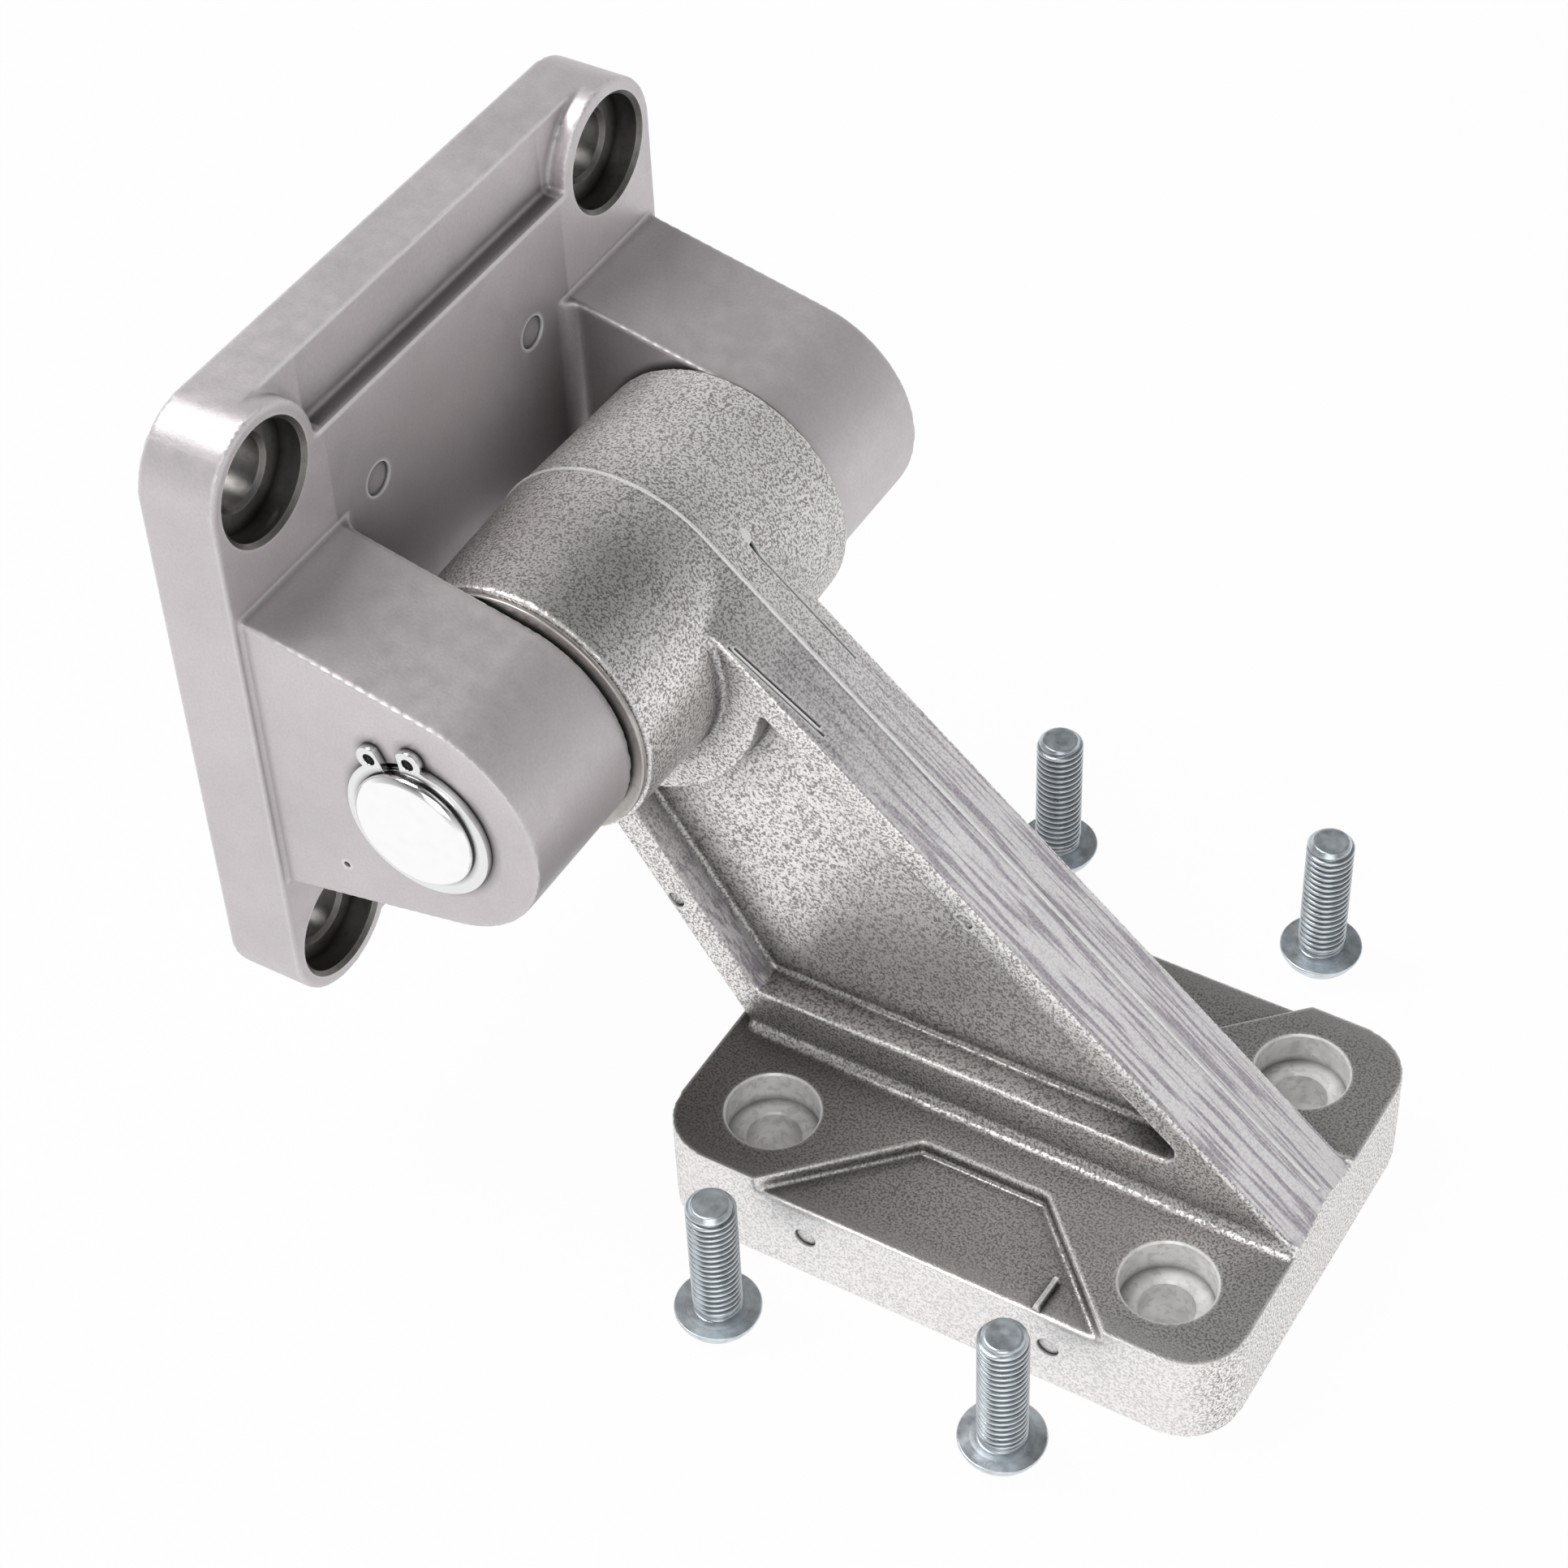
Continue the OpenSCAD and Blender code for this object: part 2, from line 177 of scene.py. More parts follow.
class SwivelStage(bpy.types.PropertyGroup):
    eye: bpy.props.FloatVectorProperty(
        name="Camera place", description="Where the camera stands", subtype="XYZ", unit="LENGTH",
        size=3, default=(0.16978, -0.33569, 0.46316))
    heading: bpy.props.FloatProperty(
        name="Heading", description="Direction of view round Z, from +X",
        default=math.radians(122.63), unit="ROTATION")
    dip: bpy.props.FloatProperty(
        name="Dip", description="How far the view points below the horizon",
        default=math.radians(44.88), unit="ROTATION")
    roll: bpy.props.FloatProperty(
        name="Roll", description="Turn of the picture about the line of view",
        default=math.radians(-2.89), unit="ROTATION")
    lens: bpy.props.FloatProperty(
        name="Lens", description="Focal length in millimetres on a 36 mm wide sensor",
        default=83.25)
    floor_colour: colour_setting("Floor", "Plain pale floor", (0.92, 0.92, 0.92, 1))
    floor_glow: bpy.props.FloatProperty(
        name="Floor white", description="Share of plain white in what is seen of the floor",
        default=0.97, min=0, max=1)
    front_power: bpy.props.FloatProperty(
        name="Front light", description="Power of the large soft light beside the camera",
        default=3.5, unit="POWER")
    top_power: bpy.props.FloatProperty(
        name="Top light", description="Power of the soft light above the fork",
        default=7.0, unit="POWER")


# Mesh helpers

def new_piece(name, mesh):
    piece = bpy.data.objects.new(name, mesh)
    bpy.context.scene.collection.objects.link(piece)
    return piece


def edit(mesh, change):
    """Runs change(bm) on the mesh."""
    bm = bmesh.new()
    bm.from_mesh(mesh)
    change(bm)
    bm.to_mesh(mesh)
    bm.free()
    mesh.update()


def bake_modifiers(piece):
    """Leaves the mesh as its modifiers make it."""
    graph = bpy.context.evaluated_depsgraph_get()
    made = bpy.data.meshes.new_from_object(piece.evaluated_get(graph))
    made.name = piece.name
    piece.modifiers.clear()
    piece.data = made


def bare_mesh(node, change):
    """A copy of a CAD node's mesh without its looks, joined at its corners and edited by change(bm)."""
    mesh = frame["nodes"][node].data.copy()
    mesh.materials.clear()

    def prepare(bm):
        bmesh.ops.remove_doubles(bm, verts=bm.verts, dist=SAME_PLACE)
        change(bm)
        bmesh.ops.recalc_face_normals(bm, faces=bm.faces)

    edit(mesh, prepare)
    for old in ("custom_normal", "sharp_face", "sharp_edge"):
        if mesh.attributes.get(old):
            mesh.attributes.remove(mesh.attributes[old])
    return mesh


def copy_of(node, name):
    """A clean copy of a CAD node, with its flat faces merged."""
    def merge(bm):
        bmesh.ops.dissolve_limit(bm, angle_limit=FLAT_ANGLE, verts=bm.verts, edges=bm.edges)

    return new_piece(name, bare_mesh(node, merge))


def turned(bm, profile, place, axis):
    """Adds a closed body turned about a line along axis 0, 1 or 2 through place.

    The profile is a list of a coordinate on that axis and a radius, from one end to the other.
    """
    steps = 64
    first, second = ((1, 2), (2, 0), (0, 1))[axis]
    rings = []
    for along, radius in profile:
        ring = []
        for step in range(steps if radius > 0 else 1):
            angle = 2 * math.pi * step / steps
            point = Vector(place)
            point[axis] = along
            point[first] += radius * math.cos(angle)
            point[second] += radius * math.sin(angle)
            ring.append(bm.verts.new(point))
        rings.append(ring)
    for lower, upper in zip(rings, rings[1:]):
        for step in range(steps):
            following = step + 1
            corners = (lower[step % len(lower)], lower[following % len(lower)],
                       upper[following % len(upper)], upper[step % len(upper)])
            bm.faces.new(list(dict.fromkeys(corners)))


def body(start, end, radius):
    """The profile of a plain cylinder."""
    return [(start, 0), (start, radius), (end, radius), (end, 0)]


def cast(node, name, plugs, skin):
    """A node's shape as it leaves the mould: its bores closed by plugs and its edges rounded."""
    def close(bm):
        for profile, place, axis in plugs:
            turned(bm, profile, place, axis)

    piece = new_piece(name, bare_mesh(node, close))
    facets = piece.modifiers.new("facets", "REMESH")
    facets.mode = "VOXEL"
    facets.voxel_size = skin.facet
    rounding = piece.modifiers.new("rounding", "SMOOTH")
    rounding.factor = 0.5
    rounding.iterations = skin.softness
    thinning = piece.modifiers.new("thinning", "DECIMATE")
    thinning.ratio = skin.kept
    bake_modifiers(piece)
    return piece


def combine(piece, tool, operation):
    """Joins the tool to the piece or cuts it away, and removes the tool."""
    joint = piece.modifiers.new("joint", "BOOLEAN")
    joint.operation = operation
    joint.solver = "EXACT"
    joint.object = tool
    bake_modifiers(piece)
    bpy.data.objects.remove(tool)


def machine(piece, cutters, material):
    """Cuts turned holes, each a profile, a place and an axis, with faces of that material index."""
    bm = bmesh.new()
    for profile, place, axis in cutters:
        turned(bm, profile, place, axis)
    combine(piece, tool_of(bm, piece, material), "DIFFERENCE")


def tool_of(bm, piece, material):
    """A tool made of the closed bodies in bm, with the piece's materials."""
    bmesh.ops.recalc_face_normals(bm, faces=bm.faces)
    for face in bm.faces:
        face.material_index = material
    mesh = bpy.data.meshes.new("tool")
    bm.to_mesh(mesh)
    bm.free()
    for slot in piece.data.materials:
        mesh.materials.append(slot)
    return new_piece("tool", mesh)


def section(node):
    """The outer outline of a node's cut at y = 0, as points in order."""
    bm = bmesh.new()
    bm.from_mesh(frame["nodes"][node].data)
    bmesh.ops.remove_doubles(bm, verts=bm.verts, dist=SAME_PLACE)
    whole = bm.verts[:] + bm.edges[:] + bm.faces[:]
    made = bmesh.ops.bisect_plane(bm, geom=whole, plane_co=(0, 0, 0), plane_no=(0, 1, 0))
    edges = [item for item in made["geom_cut"] if isinstance(item, bmesh.types.BMEdge)]
    edges = dict.fromkeys(edges)
    loops = []
    while edges:
        edge, _ = edges.popitem()
        first, last = edge.verts
        loop = [first]
        while last is not first:
            loop.append(last)
            onward = [other for other in last.link_edges if other in edges]
            if not onward:
                break
            del edges[onward[0]]
            last = onward[0].other_vert(last)
        loops.append([vert.co.copy() for vert in loop])
    bm.free()
    outline = max(loops, key=lambda points: max(p.x for p in points) - min(p.x for p in points))
    apart = 0.05 * MM
    step = 2 * MM
    points = []
    for last, here in zip(outline[-1:] + outline, outline):
        gap = (here - last).length
        if gap > apart:
            pieces = math.ceil(gap / step)
            points += [last.lerp(here, (index + 1) / pieces) for index in range(pieces)]
    return points


def strip(bm, path, outward, wide, narrow, height, depth):
    """Adds a low bead along a path; outward gives the way out of the surface at each point.

    The bead is narrow on top, at height above the surface, and wide below it, at depth.
    """
    rings = []
    for index, point in enumerate(path):
        away = outward[index]
        ahead = path[min(index + 1, len(path) - 1)] - path[max(index - 1, 0)]
        side = ahead.cross(away).normalized()
        corners = ((-wide, -depth), (-narrow, height), (narrow, height), (wide, -depth))
        rings.append([bm.verts.new(point + side * across + away * up) for across, up in corners])
    for lower, upper in zip(rings, rings[1:]):
        for index in range(4):
            following = (index + 1) % 4
            bm.faces.new((lower[index], lower[following], upper[following], upper[index]))
    bm.faces.new(rings[0])
    bm.faces.new(list(reversed(rings[-1])))


def dressed(piece, body_name, slot_name, *nodes):
    """Lets the piece stand for its CAD nodes in the picture and move with their body."""
    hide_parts(*nodes)
    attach(piece, body_name)


def round_edges(piece, width, sharp=40):
    """Rounds the sharp edges of a turned or punched piece."""
    limit = math.radians(sharp)

    def weigh(bm):
        layer = bm.edges.layers.float.new("bevel_weight_edge")
        for edge in bm.edges:
            is_sharp = len(edge.link_faces) == 2 and edge.calc_face_angle(0) > limit
            edge[layer] = 1.0 if is_sharp else 0.0

    edit(piece.data, weigh)
    rounding = piece.modifiers.new("rounding", "BEVEL")
    rounding.limit_method = "WEIGHT"
    rounding.offset_type = "OFFSET"
    rounding.width = width
    rounding.segments = 2
    rounding.use_clamp_overlap = False
    bake_modifiers(piece)


def smooth(piece, sharp=180):
    """Smooth shading that keeps flat faces flat and edges sharper than the given angle crisp."""
    for face in piece.data.polygons:
        face.use_smooth = True
    if sharp < 180:
        piece.data.set_sharp_from_angle(angle=math.radians(sharp))
    even = piece.modifiers.new("even shading", "WEIGHTED_NORMAL")
    even.mode = "FACE_AREA"
    even.weight = 90
    even.keep_sharp = sharp < 180
    bake_modifiers(piece)


def paint(piece, *materials):
    """Gives the piece its materials. All faces start with the first one."""
    for material in materials:
        piece.data.materials.append(material)
    for face in piece.data.polygons:
        face.material_index = 0


# Materials

class Shader:
    """A node tree under construction."""

    def __init__(self, name):
        self.material = bpy.data.materials.new(name)
        self.material.use_nodes = True
        self.tree = self.material.node_tree
        self.surface = self.tree.nodes["Principled BSDF"]
        self.place = self.add("ShaderNodeTexCoord").outputs["Object"]

    def add(self, kind, **settings):
        node = self.tree.nodes.new(kind)
        for key, value in settings.items():
            setattr(node, key, value)
        return node

    def link(self, source, target):
        self.tree.links.new(source, target)

    def noise(self, size, detail=2.0, rough=0.5, stretch=None):
        """Cloudy noise whose bumps are about size across."""
        node = self.add("ShaderNodeTexNoise")
        node.inputs["Scale"].default_value = 1 / size
        node.inputs["Detail"].default_value = detail
        node.inputs["Roughness"].default_value = rough
        source = self.place
        if stretch:
            scale = self.add("ShaderNodeMapping")
            scale.inputs["Scale"].default_value = stretch
            self.link(source, scale.inputs["Vector"])
            source = scale.outputs["Vector"]
        self.link(source, node.inputs["Vector"])
        return node.outputs["Fac"]

    def cells(self, size):
        """Distance to the nearest of scattered points about size apart."""
        node = self.add("ShaderNodeTexVoronoi")
        node.inputs["Scale"].default_value = 1 / size
        self.link(self.place, node.inputs["Vector"])
        return node.outputs["Distance"]

    def span(self, source, low, high, to_low=0.0, to_high=1.0):
        """Moves low..high of the source to to_low..to_high."""
        node = self.add("ShaderNodeMapRange")
        node.inputs["From Min"].default_value = low
        node.inputs["From Max"].default_value = high
        node.inputs["To Min"].default_value = to_low
        node.inputs["To Max"].default_value = to_high
        self.link(source, node.inputs["Value"])
        return node.outputs["Result"]

    def maths(self, operation, first, second=0.0):
        node = self.add("ShaderNodeMath", operation=operation)
        for value, socket in zip((first, second), node.inputs):
            if isinstance(value, (int, float)):
                socket.default_value = value
            else:
                self.link(value, socket)
        return node.outputs[0]

    def blend(self, share, first, second):
        """Mixes two colours, each a tuple or a socket."""
        node = self.add("ShaderNodeMix", data_type="RGBA")
        self.link(share, node.inputs[0])
        for value, socket in ((first, node.inputs[6]), (second, node.inputs[7])):
            if isinstance(value, (tuple, list)):
                socket.default_value = value
            else:
                self.link(value, socket)
        return node.outputs[2]

    def relief(self, height, depth, below=None):
        """Bump from a height of 0 to 1 that stands for depth."""
        node = self.add("ShaderNodeBump")
        node.inputs["Strength"].default_value = 1.0
        node.inputs["Distance"].default_value = depth
        self.link(height, node.inputs["Height"])
        if below is not None:
            self.link(below, node.inputs["Normal"])
        return node.outputs["Normal"]

    def corners(self, reach, inside, alone=True):
        """1 on a plain face, falling towards 0 at outer edges if inside, else in hollows."""
        node = self.add("ShaderNodeAmbientOcclusion", samples=4, inside=inside, only_local=alone)
        node.inputs["Distance"].default_value = reach
        return node.outputs["AO"]

    def paint_edge_light_and_shade(self, base, highlight_colour, hollow_shade_colour, reach=0.7 * MM, hollow_reach=1.8 * MM,
             alone=True):
        """Paints highlights on outer edges and shade in hollows. Returns the colour and the share of painted edge
        highlight.
        """
        # Painted shade: hollows are darkened towards the hollow colour.
        hollow_shade = self.span(self.corners(hollow_reach, False, alone), 0.5, 0.92, 0.95, 0.0)
        base = self.blend(hollow_shade, base, hollow_shade_colour)
        # Painted highlight: outer edges are lightened towards the edge colour.
        edge = self.span(self.corners(reach, True), 0.6, 0.9, 1.0, 0.0)
        return self.blend(edge, base, highlight_colour), edge

    def shade(self, base, dark, reach, low, high, most, where=None):
        """Paints shade into the wide hollows of a piece, such as a pocket or the space between two lugs."""
        share = self.span(self.corners(reach, False), low, high, most, 0.0)
        if where is not None:
            share = self.maths("MULTIPLY", share, where)
        return self.blend(share, base, dark)

    def coordinate(self, axis):
        """One coordinate of the object: 0 for X, 1 for Y, 2 for Z."""
        node = self.add("ShaderNodeSeparateXYZ")
        self.link(self.place, node.inputs[0])
        return node.outputs[axis]

    def from_line(self, centre, low, high):
        """0 near the line through centre along Y, 1 beyond a distance of high."""
        node = self.add("ShaderNodeVectorMath", operation="MULTIPLY")
        node.inputs[1].default_value = (1, 0, 1)
        self.link(self.place, node.inputs[0])
        gap = self.add("ShaderNodeVectorMath", operation="DISTANCE")
        gap.inputs[1].default_value = (centre.x, 0, centre.z)
        self.link(node.outputs[0], gap.inputs[0])
        return self.span(gap.outputs["Value"], low, high)

    def facing(self, direction, low, high):
        """1 where the surface looks in a direction of the object, else 0."""
        node = self.add("ShaderNodeVectorMath", operation="DOT_PRODUCT")
        self.link(self.add("ShaderNodeTexCoord").outputs["Normal"], node.inputs[0])
        node.inputs[1].default_value = direction
        return self.span(node.outputs["Value"], low, high)

    def streaks(self, size, angle, length):
        """Noise drawn out along a slope in the X-Z plane."""
        turn = self.add("ShaderNodeVectorRotate", rotation_type="Y_AXIS")
        turn.inputs["Angle"].default_value = angle
        self.link(self.place, turn.inputs["Vector"])
        scale = self.add("ShaderNodeMapping")
        scale.inputs["Scale"].default_value = (1 / length, 1, 1)
        self.link(turn.outputs["Vector"], scale.inputs["Vector"])
        node = self.add("ShaderNodeTexNoise")
        node.inputs["Scale"].default_value = 1 / size
        node.inputs["Detail"].default_value = 3
        self.link(scale.outputs["Vector"], node.inputs["Vector"])
        return node.outputs["Fac"]

    def finish(self, colour, roughness, metallic, normal):
        surface = self.surface
        self.link(colour, surface.inputs["Base Color"])
        self.link(roughness, surface.inputs["Roughness"])
        if isinstance(metallic, float):
            surface.inputs["Metallic"].default_value = metallic
        else:
            self.link(metallic, surface.inputs["Metallic"])
        self.link(normal, surface.inputs["Normal"])
        return self.material


def lighter(colour, by):
    return tuple(min(1.0, c * by) for c in colour[:3]) + (1.0,)


# Colour of the painted highlights on outer edges.
EDGE_HIGHLIGHT = (1.0, 0.99, 0.99, 1.0)
DEEP_SHADE = (0.03, 0.025, 0.022, 1.0)
DARK_STREAK = (0.44, 0.39, 0.46, 1.0)
PALE_STREAK = (1.0, 0.97, 1.0, 1.0)


def satin_casting(name, colour, lug_inside):
    """Smooth die-cast skin: soft clouds, fine grain, faint flow marks, painted highlights on the edges and painted
    shade in hollows and between the lugs.
    """
    s = Shader(name)
    clouds = s.noise(22 * MM, detail=3)
    flow = s.noise(9 * MM, detail=2, stretch=(1.0, 0.35, 1.0))
    fine = s.noise(0.5 * MM, detail=2, rough=0.6)
    base = s.blend(s.span(clouds, 0.35, 0.65), lighter(colour, 0.95), lighter(colour, 1.04))
    base = s.blend(s.span(flow, 0.45, 0.75, 0.0, 0.25), base, lighter(colour, 1.1))
    base = s.blend(s.span(fine, 0.35, 0.7, 0.0, 0.25), base, lighter(colour, 0.66))
    off_middle = s.maths("ABSOLUTE", s.coordinate(1))
    # Painted shade between the two lugs, where the eye and the lugs shade the plate.
    between = s.span(off_middle, lug_inside + 0.5 * MM, lug_inside + 1 * MM, 1.0, 0.0)
    base = s.shade(base, DEEP_SHADE, 32 * MM, 0.36, 0.95, 0.97, between)
    # Painted highlights on outer edges, painted shade in hollows and where other pieces come close.
    base, edge = s.paint_edge_light_and_shade(base, EDGE_HIGHLIGHT, lighter(colour, 0.12), alone=False)
    rough = s.span(s.noise(3 * MM, detail=3), 0.3, 0.7, 0.38, 0.48)
    normal = s.relief(fine, 0.02 * MM)
    normal = s.relief(s.noise(5 * MM, detail=2), 0.06 * MM, below=normal)
    # Less metal on the edges lets the painted highlight show.
    return s.finish(base, rough, s.span(edge, 0.0, 1.0, 0.6, 0.15), normal)


def rough_casting(name, finish, slope):
    """Coarse cast skin under a thin coat of zinc, with dull pits and streaky flanges, painted light on the foot's
    sides, painted shade on the foot's top and in hollows, painted highlights on edges.
    """
    s = Shader(name)
    colour = tuple(finish.bracket_colour)
    # The colour of the pits; darkened, it also gives the painted shade.
    pit_and_shade_colour = tuple(finish.pit_colour)
    grain = finish.grain
    eye_reach = 24.5 * MM
    collar_reach = 29.7 * MM
    side = FOOT_HIGH.y
    dip_top = 19 * MM

    lumps = s.noise(grain, detail=2, rough=0.6)
    dots = s.cells(grain * 1.4)
    clouds = s.noise(14 * MM, detail=3)
    off_middle = s.maths("ABSOLUTE", s.coordinate(1))
    # Painted light: the pits on the foot's side faces are lighter, for the light that falls on those faces.
    painted_side_light = s.span(off_middle, side - 4.5 * MM, side - 0.5 * MM)
    base = s.blend(s.span(lumps, 0.42, 0.53), s.blend(painted_side_light, pit_and_shade_colour, lighter(colour, 0.72)),
                   lighter(colour, 1.02))
    base = s.blend(s.span(dots, 0.05, 0.4, 0.35, 0.0), base, lighter(colour, 1.2))
    base = s.blend(s.span(clouds, 0.35, 0.7, 0.0, 0.2), base, lighter(colour, 0.85))

    out = (-math.sin(slope), 0.0, math.cos(slope))
    off_eye = s.from_line(PIN_AXIS, eye_reach, eye_reach + 2.5 * MM)
    streaky = s.maths("MULTIPLY", s.facing(out, 0.90, 0.95), off_eye)
    streaky = s.maths("MULTIPLY", streaky, s.from_line(PIN_AXIS, 20 * MM, 62 * MM))
    lines = s.span(s.streaks(0.8 * MM, slope, 20), 0.42, 0.52)
    base = s.blend(s.maths("MULTIPLY", streaky, 0.75), base, s.blend(lines, DARK_STREAK, PALE_STREAK))

    # Painted shade: the top of the foot is darkened, most on the half under the fork and arm.
    low_down = s.span(s.coordinate(2), dip_top, dip_top + 2 * MM, 1.0, 0.0)
    foot_top = s.maths("MULTIPLY", s.facing((0, 0, 1), 0.9, 0.97), low_down)
    painted_top_shade = s.span(s.coordinate(0), FOOT_LOW.x + 50 * MM, FOOT_HIGH.x, 0.75, 0.15)
    base = s.blend(s.maths("MULTIPLY", foot_top, painted_top_shade), base, lighter(pit_and_shade_colour, 0.3))
    # Painted shade in the pockets and inner corners.
    base = s.shade(base, lighter(pit_and_shade_colour, 0.25), 9 * MM, 0.35, 0.9, 0.85)
    # Painted highlights on outer edges and painted shade in hollows.
    base, edge = s.paint_edge_light_and_shade(base, EDGE_HIGHLIGHT, lighter(pit_and_shade_colour, 0.15), hollow_reach=2.4 * MM)

    off_collar = s.from_line(PIN_AXIS, collar_reach, collar_reach + 1.3 * MM)
    near_eye = s.maths("SUBTRACT", 1.0, off_collar)
    far_half = s.maths("MULTIPLY", near_eye, s.span(s.coordinate(1), -12 * MM, 10 * MM))
    # Less metal on the edges lets the painted highlight show.
    metal = s.span(edge, 0.0, 1.0, 0.95, 0.15)
    metal = s.maths("MULTIPLY", metal, s.span(streaky, 0.0, 1.0, 1.0, 0.15))
    metal = s.maths("MULTIPLY", metal, s.span(far_half, 0.0, 1.0, 1.0, 0.45))
    rough = s.span(lumps, 0.35, 0.65, 0.44, 0.30)
    normal = s.relief(lumps, 0.05 * MM)
    normal = s.relief(s.noise(3 * MM, detail=2), 0.06 * MM, below=normal)
    return s.finish(base, rough, metal, normal)


def cut_metal(name, colour, tool=0.18, metallic=1.0, stained=0.35):
    """Turned or milled face with fine tool marks."""
    s = Shader(name)
    marks = s.noise(tool * MM, detail=1, stretch=(1.0, 1.0, 4.0))
    stains = s.noise(4 * MM, detail=3)
    blots = s.noise(1.2 * MM, detail=2)
    dull = lighter(colour, 0.6)
    base = s.blend(s.span(stains, 0.4, 0.7, 0.0, stained), colour, dull)
    base = s.blend(s.span(blots, 0.52, 0.62, 0.0, stained), base, dull)
    # Painted highlights on outer edges and painted shade in hollows.
    base, _ = s.paint_edge_light_and_shade(base, lighter(colour, 1.6), lighter(colour, 0.3), reach=0.5 * MM)
    rough = s.span(stains, 0.3, 0.7, 0.34, 0.46)
    return s.finish(base, rough, metallic, s.relief(marks, 0.01 * MM))


def ground_steel(name, colour):
    """Ground and polished steel with faint rub marks."""
    s = Shader(name)
    rub = s.noise(2.5 * MM, detail=4, rough=0.6)
    marks = s.noise(0.25 * MM, detail=1, stretch=(1.0, 0.2, 1.0))
    base = s.blend(s.span(rub, 0.4, 0.75, 0.0, 0.2), colour, lighter(colour, 0.92))
    # Painted shadow in the gaps between the pin, the rings and the lugs; the edges keep the plain colour.
    base, _ = s.paint_edge_light_and_shade(base, colour, lighter(colour, 0.06), reach=0.3 * MM, hollow_reach=1.1 * MM,
                     alone=False)
    rough = s.span(rub, 0.3, 0.7, 0.12, 0.22)
    return s.finish(base, rough, 1.0, s.relief(marks, 0.003 * MM))


def zinc_plate(name, colour):
    """Bluish zinc plating, a little cloudy, with painted highlights on the crests and painted shade in the roots.
    """
    s = Shader(name)
    clouds = s.noise(1.8 * MM, detail=3)
    fine = s.noise(0.3 * MM, detail=2)
    base = s.blend(s.span(clouds, 0.35, 0.7), lighter(colour, 0.9), lighter(colour, 1.3))
    # Painted highlights on the thread crests and painted shade in the roots.
    base, _ = s.paint_edge_light_and_shade(base, (0.97, 0.98, 1.0, 1.0), lighter(colour, 0.12), reach=0.3 * MM,
                     hollow_reach=0.9 * MM)
    rough = s.span(clouds, 0.3, 0.7, 0.26, 0.38)
    return s.finish(base, rough, 0.8, s.relief(fine, 0.008 * MM))


# Operators

class SWIVEL_OT_stage(bpy.types.Operator):
    """Builds the pale floor, the soft room and the lights"""

    bl_idname = "swivel.stage"
    bl_label = "Stage"

    def execute(self, context):
        settings = context.scene.swivel_stage
        self.floor(settings)
        self.room()
        self.lamp("front light", (0.35, -0.85, 0.75), 0.8, settings.front_power)
        self.lamp("top light", (-0.52, -0.10, 1.05), 0.5, settings.top_power)
        context.scene.view_settings.view_transform = "Standard"
        return {"FINISHED"}

    @staticmethod
    def floor(settings):
        half = 3.0
        mesh = bpy.data.meshes.new("floor")
        corners = [(-half, -half, 0), (half, -half, 0), (half, half, 0), (-half, half, 0)]
        mesh.from_pydata(corners, [], [(0, 1, 2, 3)])
        floor = new_piece("floor", mesh)
        s = Shader("floor paper")
        speck = s.noise(0.4, detail=2)
        pale = s.blend(s.span(speck, 0.3, 0.7, 0.0, 0.4), tuple(settings.floor_colour),
                       lighter(settings.floor_colour, 0.985))
        s.link(pale, s.surface.inputs["Base Color"])
        s.surface.inputs["Roughness"].default_value = 0.9
        s.surface.inputs["Specular IOR Level"].default_value = 0.1
        glow = s.add("ShaderNodeEmission")
        path = s.add("ShaderNodeLightPath").outputs
        seen = s.maths("MAXIMUM", path["Is Camera Ray"], path["Is Glossy Ray"])
        seen = s.maths("MAXIMUM", seen, path["Is Transmission Ray"])
        share = s.maths("MULTIPLY", seen, settings.floor_glow)
        mixed = s.add("ShaderNodeMixShader")
        s.link(share, mixed.inputs[0])
        s.link(s.surface.outputs[0], mixed.inputs[1])
        s.link(glow.outputs[0], mixed.inputs[2])
        s.link(mixed.outputs[0], s.tree.nodes["Material Output"].inputs["Surface"])
        mesh.materials.append(s.material)

    @staticmethod
    def room():
        """Light walls that fade upwards into a dark ceiling."""
        world = bpy.data.worlds.new("studio room")
        bpy.context.scene.world = world
        world.use_nodes = True
        tree = world.node_tree
        place = tree.nodes.new("ShaderNodeTexCoord")
        split = tree.nodes.new("ShaderNodeSeparateXYZ")
        ramp = tree.nodes.new("ShaderNodeValToRGB")
        tree.links.new(place.outputs["Generated"], split.inputs[0])
        tree.links.new(split.outputs["Z"], ramp.inputs[0])
        stops = ((0.0, 0.8), (0.2, 0.6), (0.5, 0.38), (0.66, 0.15), (1.0, 0.10))
        elements = ramp.color_ramp.elements
        while len(elements) < len(stops):
            elements.new(0.5)
        for element, (position, level) in zip(elements, stops):
            element.position = position
            element.color = (level, level, level, 1)
        tree.links.new(ramp.outputs[0], tree.nodes["Background"].inputs["Color"])
        tree.nodes["Background"].inputs["Strength"].default_value = 1.0

    @staticmethod
    def lamp(name, place, size, power):
        """A square soft light that looks at the middle of the part."""
        target = Vector((-0.035, 0.0, 0.05))
        data = bpy.data.lights.new(name, "AREA")
        data.shape = "SQUARE"
        data.size = size
        data.energy = power
        lamp = new_piece(name, data)
        lamp.location = place
        lamp.rotation_euler = (target - Vector(place)).to_track_quat("-Z", "Y").to_euler()


